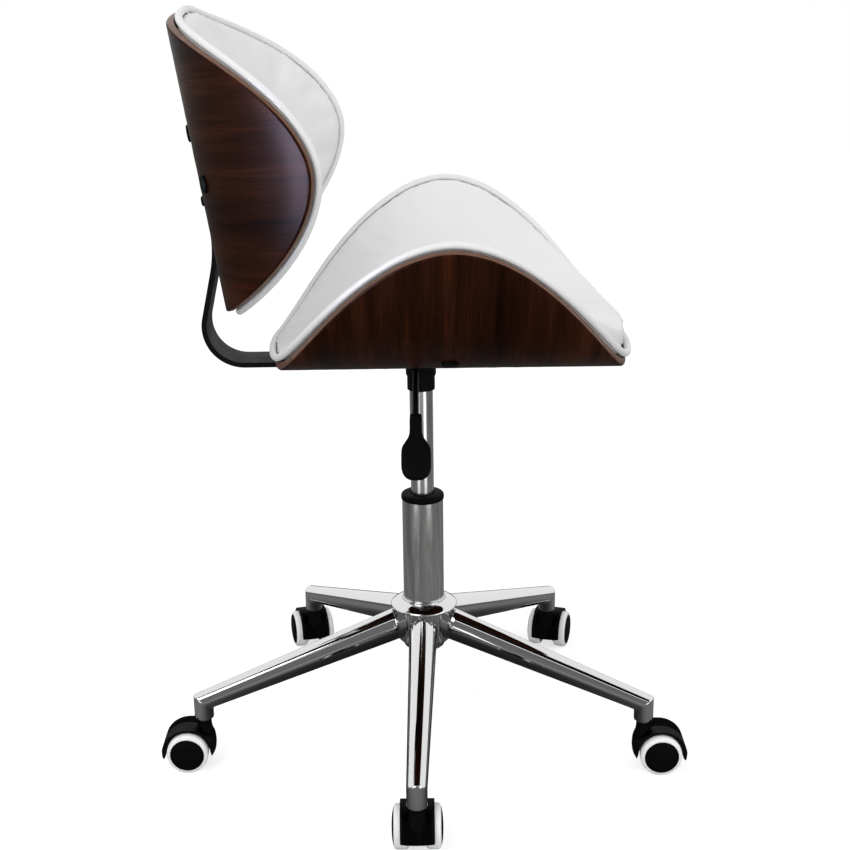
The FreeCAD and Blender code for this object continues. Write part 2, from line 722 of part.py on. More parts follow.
def cushion(centre, half, half_girth, middle):
    """Crowned pad with drawn-in sides, lofted along the shell and cut to lie clear of its inner face."""
    ply, edge, gap = size("ply_thickness"), size("cushion_edge"), size("seating_gap")
    power, flat = size("outline_power"), size("mould_flat")
    reach = half - size("cushion_end")
    stations = []
    for share in STATION_SHARES:
        along = centre + reach * share
        off_centre = abs(reach * share) / half
        girth = half_girth * (1 - off_centre ** power) ** (1 / power)
        crown = edge + (middle - edge) * (1 - off_centre ** 2)
        under = ply - size("cushion_draw")
        waist = (girth + flat) / 2
        foot = [ply_point(place, ply - size("cushion_bulge"), along) for place in (-girth, girth)]
        side = [ply_point(place, ply + edge / 2, along)
                for place in (-girth - size("cushion_bulge"), girth + size("cushion_bulge"))]
        rim = [ply_point(place, ply + edge, along)
               for place in (size("cushion_draw") - girth, girth - size("cushion_draw"))]
        top = FreeCAD.Vector(0, along, ply + crown)
        bed = [ply_point(place, ply - size("cushion_bulge"), along) for place in (-flat, flat)]
        belly = [ply_point(place, under, along) for place in (-waist, waist)]
        stations.append(wire_of([
            Part.Arc(foot[0], side[0], rim[0]),
            Part.Arc(rim[0], top, rim[1]),
            Part.Arc(rim[1], side[1], foot[1]),
            Part.Arc(foot[1], belly[1], bed[1]),
            Part.LineSegment(bed[1], bed[0]),
            Part.Arc(bed[0], belly[0], foot[0]),
        ]))
    pad = Part.makeLoft(stations, True, False)
    start = centre - half - size("cut_overrun")
    face, left, right = mould_run(half_girth + size("cushion_bulge") + edge + middle, ply + gap, start)
    hollow = Part.Face(wire_of(face + [Part.LineSegment(right, left)]))
    return pad.common(hollow.extrude(FreeCAD.Vector(0, 2 * (half + size("cut_overrun")), 0)))


OUTLINE_STEPS = 72
STATION_SHARES = (-1, -0.9, -0.72, -0.5, -0.25, 0, 0.25, 0.5, 0.72, 0.9, 1)
SEAT_OUTLINE = [size(name) for name in ("seat_centre", "seat_half_depth", "seat_half_girth")]
BACK_OUTLINE = [size(name) for name in ("back_centre", "back_half_height", "back_half_girth")]


def fixed(name, shape, place):
    """Plain document object that holds a finished shape."""
    item = doc.addObject("Part::Feature", name)
    item.Shape = shape
    item.Placement = place
    return item


# Shells of bent ply, drilled for their bolts, and the cushions that lie in them
seat_bores = bolt_bores("seat", plate_bolts + strap_bolts, plate_foot)
node(carve("seat_ply", fixed("seat_sheet", bent_shell(*SEAT_OUTLINE), seat_frame), seat_bores),
     "seat_shell")
node(carve("back_ply", fixed("back_sheet", bent_shell(*BACK_OUTLINE), back_frame), back_bores("back")),
     "back_shell")
node(fixed("seat_pad", cushion(*SEAT_OUTLINE, size("seat_cushion_middle")), seat_frame), "seat_cushion")
node(fixed("back_pad", cushion(*BACK_OUTLINE, size("back_cushion_middle")), back_frame), "back_cushion")


# Bolts: hex heads under the plate and the strap, button heads on the back
def hex_bolt(name, x, y, seat, clamped):
    """Hex bolt that stands upright with its head under a seat."""
    head = solid("Prism", name + "_head", at(x, y, seat - size("bolt_head_height")),
                 Circumradius="bolt_head_width / 2 / %.9f" % cos(pi / 6), Height="bolt_head_height")
    shank = solid("Cylinder", name + "_shank", at(x, y, seat), Radius="bolt_diameter / 2",
                  Height=clamped + " + bolt_grip")
    return join(name, [head, shank])


node(group("plate_bolt_group", [hex_bolt("plate_bolt_%d" % index, x, y, plate_foot, "plate_thickness")
                                for index, (x, y) in enumerate(plate_bolts, start=1)]), "mechanism_bolts")
strap_fasteners = [hex_bolt("strap_bolt_%d" % index, x, y, plate_foot - size("strap_thickness"),
                            "strap_thickness + plate_thickness")
                   for index, (x, y) in enumerate(strap_bolts, start=1)]
for side in (-1, 1):
    screw = turned("back_screw_%d" % (side + 2), [
        ("0", "0"),
        ("button_diameter / 2 - cap_bevel", "0"),
        ("button_diameter / 2", "cap_bevel"),
        ("button_diameter / 2", "button_height"),
        ("bolt_diameter / 2", "button_height"),
        ("bolt_diameter / 2", "button_height + strap_thickness + bolt_grip"),
        ("0", "button_height + strap_thickness + bolt_grip"),
    ])
    screw.Placement = back_frame * at(side * size("strap_bolt_side"), size("strap_bolt_height"),
                                      -size("strap_thickness") - size("button_height"))
    strap_fasteners.append(screw)
node(group("strap_fastener_group", strap_fasteners), "strap_bolts")

# Round caps on the outer faces of both shells
CAP_PLACES = [
    (seat_frame, "seat_cap_side", size("seat_centre") + size("seat_cap_fore")),
    (back_frame, "low_cap_side", size("low_cap_height")),
    (back_frame, "high_cap_side", size("high_cap_height")),
]
caps = []
for frame, side_name, along in CAP_PLACES:
    for side in (-1, 1):
        cap = turned("cap_%d" % len(caps), [
            ("0", "0"),
            ("cap_diameter / 2", "0"),
            ("cap_diameter / 2", "cap_height - cap_bevel"),
            ("cap_diameter / 2 - cap_bevel", "cap_height"),
            ("0", "cap_height"),
        ])
        spot = ply_point(side * size(side_name), 0, along)
        outward = spot - ply_point(side * size(side_name), size("ply_thickness"), along)
        turn = FreeCAD.Rotation(FreeCAD.Vector(0, 0, 1), outward)
        cap.Placement = frame * FreeCAD.Placement(spot, turn)
        caps.append(cap)
node(group("cap_group", caps), "shell_caps")


def caster(number, trail_turn):
    """Twin-wheel caster under one arm: hood, stem and axle, and two wheels of a core and a tyre."""
    name = "caster_%d" % number
    arm_turn = radians(size("first_arm_angle") + (number - 1) * ARM_TURN)
    radius = size("stem_circle_radius")
    frame = at(radius * cos(arm_turn), radius * sin(arm_turn), turn=trail_turn)
    trail, over = size("wheel_trail"), size("cut_overrun")
    sideways = ((1, 0, 0), -QUARTER_TURN)
    shell = solid("Cylinder", name + "_arch", at(trail, -size("hood_width") / 2, axle_height, *sideways),
                  Radius="wheel_diameter / 2 + hood_gap + hood_wall", Height="hood_width")
    boss = solid("Cylinder", name + "_boss", at(z=axle_height), Radius="boss_diameter / 2",
                 Height="wheel_diameter / 2 + hood_gap + hood_wall + boss_rise")
    space = "hood_width / 2 - web_width / 2 + cut_overrun"
    tools = [solid("Cylinder", "%s_space_%d" % (name, index), at(trail, start, axle_height, *sideways),
                   Radius="wheel_diameter / 2 + hood_gap", Height=space)
             for index, start in enumerate((size("web_width") / 2, -size("hood_width") / 2 - over),
                                           start=1)]
    tools.append(solid("Box", name + "_trim",
                       at(trail - hood_radius - over, -size("hood_width") / 2 - over,
                          axle_height - hood_radius - over),
                       Length="wheel_diameter + 2 * (hood_gap + hood_wall + cut_overrun)",
                       Width="hood_width + 2 * cut_overrun",
                       Height="hood_tip_height + hood_gap + hood_wall + cut_overrun"))
    tools.append(solid("Cylinder", name + "_stem_bore",
                       at(z=boss_top - size("stem_lower") - size("seating_gap")),
                       Radius="stem_diameter / 2 + running_clearance",
                       Height="stem_lower + seating_gap + cut_overrun"))
    tools.append(solid("Cylinder", name + "_axle_bore",
                       at(trail, -size("web_width") / 2 - over, axle_height, *sideways),
                       Radius="axle_diameter / 2 + running_clearance",
                       Height="web_width + 2 * cut_overrun"))
    node(carve(name + "_hood", join(name + "_hood_stock", [shell, boss]), tools), name + "_hood", frame)
    shaft = solid("Cylinder", name + "_shaft", at(z=boss_top - size("stem_lower")),
                  Radius="stem_diameter / 2", Height="stem_lower + stem_ring_height + stem_upper")
    collar = solid("Cylinder", name + "_collar", at(z=boss_top), Radius="stem_ring_diameter / 2",
                   Height="stem_ring_height - seating_gap")
    node(join(name + "_stem", [shaft, collar]), name + "_stem", frame)
    node(solid("Cylinder", name + "_axle", Radius="axle_diameter / 2", Height="axle_length"),
         name + "_axle", frame * at(trail, -size("axle_length") / 2, axle_height, *sideways))
    for letter, side in (("a", 1), ("b", -1)):
        wheel = "%s_wheel_%s" % (name, letter)
        place = frame * at(trail, side * (size("web_width") / 2 + size("web_gap")), axle_height,
                           (1, 0, 0), -QUARTER_TURN * side)
        bore_end = "axle_length / 2 - web_width / 2 - web_gap + seating_gap"
        node(turned(wheel + "_disc", [
            ("axle_diameter / 2 + running_clearance", "0"),
            ("hub_cap_diameter / 2", "0"),
            ("hub_cap_diameter / 2", "wheel_width - hub_cap_dome"),
            ("hub_cap_diameter / 2 - hub_cap_dome", "wheel_width"),
            ("0", "wheel_width"),
            ("0", bore_end),
            ("axle_diameter / 2 + running_clearance", bore_end),
        ]), wheel + "_core", place)
        inner, outer = "hub_cap_diameter / 2 + running_clearance", "wheel_diameter / 2"
        low, high = "(wheel_width - tyre_width) / 2", "(wheel_width + tyre_width) / 2"
        node(turned(wheel + "_ring", [
            (inner, low),
            (outer + " - tyre_round", low),
            (outer, low + " + tyre_round"),
            (outer, high + " - tyre_round"),
            (outer + " - tyre_round", high),
            (inner, high),
        ]), wheel + "_tyre", place)


for number, trail_turn in CASTER_TURNS.items():
    caster(number, trail_turn)

doc.recompute()
for item in doc.Objects:
    if "Invalid" in item.State or "Error" in item.State:
        raise RuntimeError("failed: " + item.Name)
for item in NODES:
    if item.Shape.isNull() or not item.Shape.isValid():
        raise RuntimeError("bad shape: " + item.Label)

os.makedirs("parts", exist_ok=True)
for item in NODES:
    item.Shape.exportStep("parts/%s.step" % item.Label)
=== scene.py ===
from math import atan2, copysign, cos, hypot, pi, radians, sin

import bmesh
import bpy
from mathutils import Matrix, Vector


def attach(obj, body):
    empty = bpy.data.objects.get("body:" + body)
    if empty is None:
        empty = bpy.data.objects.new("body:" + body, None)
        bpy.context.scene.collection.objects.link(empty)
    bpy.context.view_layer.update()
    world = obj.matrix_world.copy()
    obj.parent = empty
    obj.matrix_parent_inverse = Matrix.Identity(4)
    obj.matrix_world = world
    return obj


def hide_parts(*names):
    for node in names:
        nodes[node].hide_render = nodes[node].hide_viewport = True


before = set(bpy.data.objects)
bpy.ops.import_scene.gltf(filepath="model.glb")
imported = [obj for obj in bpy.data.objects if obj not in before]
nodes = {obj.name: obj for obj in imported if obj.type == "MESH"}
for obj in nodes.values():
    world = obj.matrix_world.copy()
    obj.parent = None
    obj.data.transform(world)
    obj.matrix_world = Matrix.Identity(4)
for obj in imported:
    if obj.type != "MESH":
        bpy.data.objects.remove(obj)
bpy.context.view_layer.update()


# Hub and five arms: die-cast and pressed steel under bright chrome plate.
# The arms are welded into the hub and end in mitred sockets for the caster stems.
def shader_node(tree, kind, **values):
    """Node of one kind: a socket is linked, any other value fills a setting or an input."""
    made = tree.nodes.new(kind)
    for name, value in values.items():
        if hasattr(made, name):
            setattr(made, name, value)
        elif isinstance(value, bpy.types.NodeSocket):
            tree.links.new(value, made.inputs[name.replace("_", " ")])
        else:
            made.inputs[name.replace("_", " ")].default_value = value
    return made


def noise_value(tree, vector, **values):
    """Value of a noise texture over the given coordinates."""
    return shader_node(tree, "ShaderNodeTexNoise", Vector=vector, **values).outputs["Fac"]


def ranged(tree, source, **values):
    """Value brought from one range into another."""
    return shader_node(tree, "ShaderNodeMapRange", Value=source, **values).outputs["Result"]


def new_finish(name, **values):
    """Material with a Principled shader whose plain sockets hold the given values."""
    finish = bpy.data.materials.new(name)
    finish.use_nodes = True
    skin = finish.node_tree.nodes["Principled BSDF"]
    for socket, value in values.items():
        skin.inputs[socket.replace("_", " ")].default_value = value
    return finish, finish.node_tree, skin


def new_group(name, inputs, outputs):
    """Shader node group with named sockets; gives its tree, input node and output node."""
    tree = bpy.data.node_groups.new(name, "ShaderNodeTree")
    for direction, sockets in (("INPUT", inputs), ("OUTPUT", outputs)):
        for label, kind in sockets:
            tree.interface.new_socket(label, in_out=direction, socket_type="NodeSocket" + kind)
    return tree, tree.nodes.new("NodeGroupInput"), tree.nodes.new("NodeGroupOutput")


patchy, given, handed = new_group(
    "patchy_value",
    [("Vector", "Vector"), ("Scale", "Float"), ("Low", "Float"), ("High", "Float")],
    [("Value", "Float")])
cloud = noise_value(patchy, given.outputs["Vector"], Scale=given.outputs["Scale"],
                    Detail=4.0, Roughness=0.6)
evened = ranged(patchy, cloud, From_Min=0.3, From_Max=0.7,
                To_Min=given.outputs["Low"], To_Max=given.outputs["High"])
patchy.links.new(evened, handed.inputs["Value"])

tooth, given, handed = new_group(
    "fine_tooth",
    [("Vector", "Vector"), ("Scale", "Float"), ("Strength", "Float"), ("Depth", "Float")],
    [("Normal", "Vector")])
cloud = noise_value(tooth, given.outputs["Vector"], Scale=given.outputs["Scale"],
                    Detail=3.0, Roughness=0.55)
press = shader_node(tooth, "ShaderNodeBump", Height=cloud,
                    Strength=given.outputs["Strength"], Distance=given.outputs["Depth"])
tooth.links.new(press.outputs["Normal"], handed.inputs["Normal"])


def placed_group(tree, group, output, target, vector, **values):
    """Puts a group in a material, gives it its values and feeds one shader input from it."""
    made = shader_node(tree, "ShaderNodeGroup", node_tree=group, Vector=vector, **values)
    tree.links.new(made.outputs[output], target)


def object_coordinates(tree):
    return tree.nodes.new("ShaderNodeTexCoord").outputs["Object"]


chrome, tree, skin = new_finish("bright_chrome", Base_Color=(0.74, 0.74, 0.745, 1), Metallic=1.0)
where = object_coordinates(tree)
placed_group(tree, patchy, "Value", skin.inputs["Roughness"], where,
             Scale=9.0, Low=0.03, High=0.07)
placed_group(tree, tooth, "Normal", skin.inputs["Normal"], where,
             Scale=35.0, Strength=0.06, Depth=0.0004)


def finished(work, name, *finishes, smooth=True):
    """Mesh object at the origin, made of a bmesh."""
    mesh = bpy.data.meshes.new(name)
    work.to_mesh(mesh)
    work.free()
    for finish in finishes:
        mesh.materials.append(finish)
    mesh.polygons.foreach_set("use_smooth", [smooth] * len(mesh.polygons))
    made = bpy.data.objects.new(name, mesh)
    bpy.context.scene.collection.objects.link(made)
    return made


def spun(work, section, steps, closed=False):
    """Adds a (radius, height) section spun about the upright axis."""
    known = set(work.verts)
    line = [work.verts.new((radius, 0, height)) for radius, height in section]
    pairs = list(zip(line, line[1:])) + ([(line[-1], line[0])] if closed else [])
    edges = [work.edges.new(pair) for pair in pairs]
    bmesh.ops.spin(work, geom=line + edges, cent=(0, 0, 0), axis=(0, 0, 1), angle=2 * pi,
                   steps=steps, use_merge=True, use_duplicate=False)
    added = [point for point in work.verts if point not in known]
    bmesh.ops.remove_doubles(work, verts=added, dist=1e-7)
    added = [point for point in work.verts if point not in known]
    faces = {face for point in added for face in point.link_faces}
    bmesh.ops.recalc_face_normals(work, faces=list(faces))


def with_soft_edges(made, width, segments=2, sharp=radians(35)):
    """Small bevel along the sharp edges; large faces keep their own normals."""
    soft = made.modifiers.new("soft_edges", "BEVEL")
    soft.width, soft.segments = width, segments
    soft.limit_method, soft.angle_limit = "ANGLE", sharp
    made.modifiers.new("even_shading", "WEIGHTED_NORMAL")
    return made


hub_steps, hub_edge = 128, 0.0004
hub_section = [
    (0.0252, 0.1290), (0.0297, 0.1290), (0.0325, 0.1318), (0.0325, 0.1750), (0.0400, 0.1750),
    (0.0406, 0.1752), (0.0409, 0.1758), (0.0409, 0.1766), (0.0405, 0.1774), (0.0397, 0.1781),
    (0.0382, 0.1792), (0.0360, 0.1806), (0.0336, 0.1819), (0.0312, 0.1830), (0.0290, 0.1838),
    (0.0275, 0.1842), (0.0271, 0.1845), (0.0271, 0.1850), (0.0274, 0.1856), (0.0274, 0.1863),
    (0.0270, 0.1869), (0.0263, 0.1872), (0.0256, 0.1871), (0.0252, 0.1868)]
work = bmesh.new()
spun(work, hub_section, hub_steps, closed=True)
hub = with_soft_edges(finished(work, "base_hub_cast", chrome), hub_edge)
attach(hub, "base")
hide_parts("base_hub")

first_arm, stem_circle, arm_sides, arm_steps = 177.9, 0.280, 96, 14
root_reach, root_height, root_half_width, root_half_height = 0.016, 0.15863, 0.0177, 0.021
hub_hold, arm_tilt, elbow_height, tip_radius = 0.026, radians(37.16), 0.0845, 0.0117
mitre_round, socket_foot, bore_radius, bore_depth = 0.0022, 0.0633, 0.0060, 0.017
lip_section = ((0, 0.0012), (0.0002, 0.0006), (0.0006, 0.0002), (0.0012, 0))
arm_turns = [2 * pi * index / arm_sides for index in range(arm_sides)]


def between(start, end, share):
    return [a + (b - a) * share for a, b in zip(start, end)]


def socket_ring(radius, height):
    """Level ring round the upright axis of the socket."""
    return [(stem_circle + radius * cos(turn), radius * sin(turn), height)
            for turn in arm_turns]


def arm_rings():
    """Rings of an arm along +X: oval root, rounded mitre, socket with a soft foot and its bore."""
    root = [(root_reach, root_half_width * sin(turn), root_height + root_half_height * cos(turn))
            for turn in arm_turns]
    mouth = socket_ring(tip_radius, socket_foot)
    elbow = [(x, y, elbow_height + tip_radius * cos(turn) * sin(arm_tilt) / cos(arm_tilt))
             for (x, y, height), turn in zip(mouth, arm_turns)]
    rings = []
    for step in range(arm_steps + 1):
        ring = []
        for start, end in zip(root, elbow):
            held = between(start, end, (hub_hold - start[0]) / (end[0] - start[0]))
            long = (Vector(end) - Vector(held)).length
            ring.append(between(held, end, (1 - mitre_round / long) * step / arm_steps))
        rings.append(ring)
    turned_in = [between(end, foot, mitre_round / (end[2] - foot[2]))
                 for end, foot in zip(elbow, mouth)]
    for share in (0.2, 0.4, 0.6, 0.8, 1.0):
        rings.append([between(between(a, b, share), between(b, c, share), share)
                      for a, b, c in zip(rings[arm_steps], elbow, turned_in)])
    for inset, rise in lip_section:
        rings.append(socket_ring(tip_radius - inset, socket_foot + rise))
    for height in (socket_foot, socket_foot + bore_depth):
        rings.append(socket_ring(bore_radius, height))
    return rings


for number in range(1, 6):
    work = bmesh.new()
    rings = [[work.verts.new(place) for place in ring] for ring in arm_rings()]
    for ring, following in zip(rings, rings[1:]):
        for index in range(arm_sides):
            work.faces.new((ring[index - 1], ring[index], following[index], following[index - 1]))
    work.faces.new(rings[0])
    work.faces.new(rings[-1])
    bmesh.ops.recalc_face_normals(work, faces=work.faces)
    bmesh.ops.rotate(work, verts=work.verts, cent=(0, 0, 0),
                     matrix=Matrix.Rotation(radians(first_arm + 72 * (number - 1)), 3, "Z"))
    arm = finished(work, "base_arm_%d_plated" % number, chrome)
    arm.modifiers.new("even_shading", "WEIGHTED_NORMAL")
    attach(arm, "base")
    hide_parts("base_arm_%d" % number)


# Column: chromed outer tube with painted reflection streaks along it, black guide bush, gas
# cylinder and rod.
# The tube stands in the hub, the cylinder slides in the bush at the tube's top.
def ramp_into(tree, source, target, *stops):
    """Feeds an input through a colour ramp of (place, red, green, blue) stops, low to high."""
    made = shader_node(tree, "ShaderNodeValToRGB", Fac=source)
    marks = made.color_ramp.elements
    for mark, (place, *colour) in ((marks[0], stops[0]), (marks[1], stops[-1])):
        mark.position, mark.color = place, (*colour, 1)
    for place, *colour in stops[1:-1]:
        marks.new(place).color = (*colour, 1)
    tree.links.new(made.outputs["Color"], target)


def dress(finish, *names):
    """CAD pieces take a finish."""
    for name in names:
        for place in nodes[name].material_slots:
            place.material = finish


tube_steel, tree, skin = new_finish("tube_chrome_painted_streaks", Metallic=1.0)
stretch = shader_node(tree, "ShaderNodeMapping", Vector=object_coordinates(tree),
                      Scale=(90.0, 90.0, 7.0))
painted_reflection_streak = noise_value(tree, stretch.outputs["Vector"],
                     Scale=1.0, Detail=6.0, Roughness=0.62, Distortion=0.9)
# Lighter and darker streaks of base colour along the tube are painted reflections; the same noise
# also varies the roughness.
ramp_into(tree, painted_reflection_streak, skin.inputs["Base Color"],
          (0.32, 0.50, 0.49, 0.48), (0.7, 0.90, 0.90, 0.89))
tree.links.new(ranged(tree, painted_reflection_streak, To_Min=0.12, To_Max=0.26), skin.inputs["Roughness"])
dress(tube_steel, "column_tube")

polished, tree, skin = new_finish("polished_chrome", Base_Color=(0.82, 0.82, 0.82, 1),
                                  Metallic=1.0)
placed_group(tree, patchy, "Value", skin.inputs["Roughness"], object_coordinates(tree),
             Scale=40.0, Low=0.14, High=0.19)
dress(polished, "pressure_cylinder")

black_plastic, tree, skin = new_finish("black_plastic", Base_Color=(0.0035, 0.0035, 0.0038, 1),
                                       Specular_IOR_Level=0.035)
where = object_coordinates(tree)
placed_group(tree, patchy, "Value", skin.inputs["Roughness"], where,
             Scale=60.0, Low=0.46, High=0.6)
placed_group(tree, tooth, "Normal", skin.inputs["Normal"], where,
             Scale=900.0, Strength=0.2, Depth=0.0003)

collar_steps = 72
collar_section = [
    (0.01406, 0.235), (0.02314, 0.235), (0.02314, 0.3150), (0.0252, 0.3151), (0.0259, 0.3156),
    (0.0261, 0.3166), (0.0261, 0.3192), (0.0258, 0.3206), (0.0250, 0.3216), (0.0236, 0.3220),
    (0.0185, 0.3224), (0.0158, 0.3226), (0.0148, 0.3222), (0.01406, 0.3212)]
work = bmesh.new()
spun(work, collar_section, collar_steps, closed=True)
collar = finished(work, "guide_bush_rounded", black_plastic)
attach(collar, "base")
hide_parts("column_bush")

bare_steel, tree, skin = new_finish("bare_steel", Base_Color=(0.5, 0.49, 0.48, 1), Metallic=1.0)
placed_group(tree, patchy, "Value", skin.inputs["Roughness"], object_coordinates(tree),
             Scale=80.0, Low=0.22, High=0.42)
dress(bare_steel, "piston_rod", "piston", "retaining_clip", "thrust_bearing", "release_pin")


# Mechanism, lever rod and back strap: steel under black powder coat with a faint orange peel.
# The strap is a bent flat bar, bolted under the plate and screwed to the back shell.
black_coat, tree, skin = new_finish("black_powder_coat", Base_Color=(0.006, 0.006, 0.0065, 1),
                                    Specular_IOR_Level=0.045)
where = object_coordinates(tree)
placed_group(tree, patchy, "Value", skin.inputs["Roughness"], where,
             Scale=30.0, Low=0.38, High=0.5)
placed_group(tree, tooth, "Normal", skin.inputs["Normal"], where,
             Scale=420.0, Strength=0.25, Depth=0.0004)
dress(black_coat, "seat_mechanism", "lever_rod", "back_strap", "mechanism_bolts", "strap_bolts")


# Lever paddle: moulded black plastic grip, pushed on the end of the rod.
# A slim neck flares into a flat rounded blade that hangs down outside the seat.
paddle_stations = [  # millimetres from the root, half width, half thickness
    (0, 5.0, 3.6), (0.8, 6.3, 4.6), (6, 6.6, 4.9), (18, 6.6, 4.9), (25, 7.0, 4.9),
    (30, 8.5, 4.9), (35, 11.4, 4.8), (39, 13.8, 4.8), (43, 15.2, 4.8), (48, 15.6, 4.8),
    (62, 15.6, 4.8), (67, 15.3, 4.8), (71, 14.3, 4.7), (74.5, 12.6, 4.6), (77, 10.4, 4.3),
    (78.8, 7.8, 3.6), (79.6, 5.4, 2.8), (79.9, 3.0, 1.8)]
paddle_ends = (paddle_stations[0][0], paddle_stations[-1][0])
paddle_sides, width_power, thickness_power = 28, 0.62, 0.45
paddle_droop, paddle_root = radians(38), (-0.190, 0.006, 0.4799)
work = bmesh.new()
rings = []
for along, half_width, half_thickness in paddle_stations:
    ring = bmesh.ops.create_circle(work, cap_ends=along in paddle_ends, segments=paddle_sides,
                                   radius=1)["verts"]
    for point in ring:
        turn = atan2(point.co.y, point.co.x)
        across, through = cos(turn), sin(turn)
        point.co = (along / 1000,
                    half_width / 1000 * copysign(abs(across) ** width_power, across),
                    half_thickness / 1000 * copysign(abs(through) ** thickness_power, through))
    rings.append(ring)
for ring, following in zip(rings, rings[1:]):
    edges = {edge for part in (ring, following) for point in part for edge in point.link_edges
             if edge.other_vert(point) in part}
    bmesh.ops.bridge_loops(work, edges=list(edges))
bmesh.ops.recalc_face_normals(work, faces=work.faces)
paddle_place = Matrix.Translation(paddle_root) @ Matrix((
    (-cos(paddle_droop), 0, -sin(paddle_droop), 0), (0, -1, 0, 0),
    (-sin(paddle_droop), 0, cos(paddle_droop), 0), (0, 0, 0, 1)))
bmesh.ops.transform(work, verts=work.verts, matrix=paddle_place)
paddle = finished(work, "lever_paddle_moulded", black_plastic)
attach(paddle, "lever")
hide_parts("lever_paddle")


# Seat and back shells: ten-millimetre bent ply with a dark walnut veneer across it, lacquered.
# Both come from one mould: a flat floor, an even bend and straight walls. Their rims are rounded.
# Round black plastic caps sit on the outer faces of both.
mould_flat, mould_radius, wall_turn = 0.045, 0.205, radians(70)
ply_thickness, rim_round, rim_round_steps, face_band = 0.010, 0.0030, 6, 0.0012
outline_power, rim_width, spin_radius, rim_steps = 1.85, 0.03, 0.3, 240
layer_map_radius = 0.25
seat_outline = (0.327, 0.204, -0.034)  # half girth, half along, middle along
back_outline = (0.299, 0.165, 0.158)
seat_floor, back_floor, back_lean = (0, 0, 0.4985), (0, 0.218, 0.5674), 8.65
seat_place = Matrix.Translation(seat_floor)
back_place = Matrix.Translation(back_floor) @ Matrix.Rotation(radians(90 - back_lean), 4, "X")


def rim_point(turn, half_girth, half_along):
    """Point of the outline at a turn, and the direction square to it, outwards."""
    across, along = cos(turn), sin(turn)
    reach = (abs(across) ** outline_power + abs(along) ** outline_power) ** (-1 / outline_power)
    point = Vector((half_girth * reach * across, half_along * reach * along))
    lean = Vector((copysign(abs(reach * across) ** (outline_power - 1), across) / half_girth,
                   copysign(abs(reach * along) ** (outline_power - 1), along) / half_along))
    return point, lean.normalized()


def spun_to_outline(section, half_girth, half_along, closed=False, steps=rim_steps):
    """Section of (inset, depth) points, spun and pushed out to the outline, still flat."""
    work = bmesh.new()
    spun(work, [(spin_radius - inset, depth) for inset, depth in section], steps, closed)
    for point in work.verts:
        radius = hypot(point.co.x, point.co.y)
        rim, outwards = rim_point(atan2(point.co.y, point.co.x), half_girth, half_along)
        inset = spin_radius - radius
        share = min(radius / (spin_radius - rim_width), 1)
        flat = (rim - outwards * min(inset, rim_width)) * share
        point.co = (flat.x, flat.y, point.co.z)
    bmesh.ops.recalc_face_normals(work, faces=work.faces)
    return work


def on_mould(point):
    """Where a point of the flat sheet (girth, along, depth) lies when the sheet is bent."""
    girth, along, depth = point
    run = abs(girth)
    if run <= mould_flat:
        return Vector((girth, along, depth))
    turn = min((run - mould_flat) / mould_radius, wall_turn)
    rest = max(run - mould_flat - mould_radius * wall_turn, 0)
    reach = mould_radius - depth
    across = mould_flat + reach * sin(turn) + rest * cos(wall_turn)
    height = mould_radius - reach * cos(turn) + rest * sin(wall_turn)
    return Vector((copysign(across, girth), along, height))


def bend(work, place, middle_along, lift=0.0):
    """Lays flat work over the mould, lifted off its face, and sets it in its place."""
    for point in work.verts:
        point.co = place @ (on_mould(point.co + Vector((0, 0, lift)))
                            + Vector((0, middle_along, 0)))
    bmesh.ops.recalc_face_normals(work, faces=work.faces)


floor_shares = (1, 0.97, 0.9, 0.8, 0.7, 0.6, 0.5, 0.4, 0.3, 0.2, 0.1, 0.06)
floor_insets = [spin_radius * share for share in floor_shares]
leans = [radians(90 * index / rim_round_steps) for index in range(rim_round_steps + 1)]
ply_section = (
    [(inset, 0) for inset in floor_insets]
    + [(rim_round * (1 - sin(lean)), rim_round * (1 - cos(lean))) for lean in leans]
    + [(rim_round * (1 - cos(lean)), ply_thickness - rim_round * (1 - sin(lean)))
       for lean in leans]
    + [(inset, ply_thickness) for inset in reversed(floor_insets)])

walnut, tree, skin = new_finish("walnut_veneer", Specular_IOR_Level=0.032)
sheet_map = shader_node(tree, "ShaderNodeUVMap", uv_map="sheet").outputs["UV"]
figure_map = shader_node(tree, "ShaderNodeMapping", Vector=sheet_map, Scale=(2.2, 42.0, 1.0))
pore_map = shader_node(tree, "ShaderNodeMapping", Vector=sheet_map, Scale=(14.0, 900.0, 1.0))
figure = noise_value(tree, figure_map.outputs["Vector"],
                     Scale=1.0, Detail=5.0, Roughness=0.6, Distortion=0.35)
pores = noise_value(tree, pore_map.outputs["Vector"], Scale=1.0, Detail=2.0, Roughness=0.5)
grain = shader_node(tree, "ShaderNodeMix", data_type="FLOAT", Factor=0.28, A=figure, B=pores)
ramp_into(tree, grain.outputs["Result"], skin.inputs["Base Color"],
          (0.34, 0.0062, 0.0015, 0.0005), (0.5, 0.0235, 0.0058, 0.0018),
          (0.68, 0.062, 0.0165, 0.0050))
tree.links.new(ranged(tree, pores, To_Min=0.46, To_Max=0.34), skin.inputs["Roughness"])
press = shader_node(tree, "ShaderNodeBump", Height=pores, Strength=0.25, Distance=0.0003)
tree.links.new(press.outputs["Normal"], skin.inputs["Normal"])

ply_rim, tree, skin = new_finish("ply_rim", Specular_IOR_Level=0.3, Coat_Weight=0.1,
                                 Coat_Roughness=0.25)
depth_map = shader_node(tree, "ShaderNodeUVMap", uv_map="layers").outputs["UV"]
layer_map = shader_node(tree, "ShaderNodeMapping", Vector=depth_map, Scale=(60.0, 620.0, 1.0))
layers = noise_value(tree, layer_map.outputs["Vector"], Scale=1.0, Detail=3.0, Roughness=0.55)
ramp_into(tree, layers, skin.inputs["Base Color"],
          (0.3, 0.060, 0.022, 0.0095), (0.66, 0.185, 0.080, 0.041))
tree.links.new(ranged(tree, layers, To_Min=0.5, To_Max=0.36), skin.inputs["Roughness"])


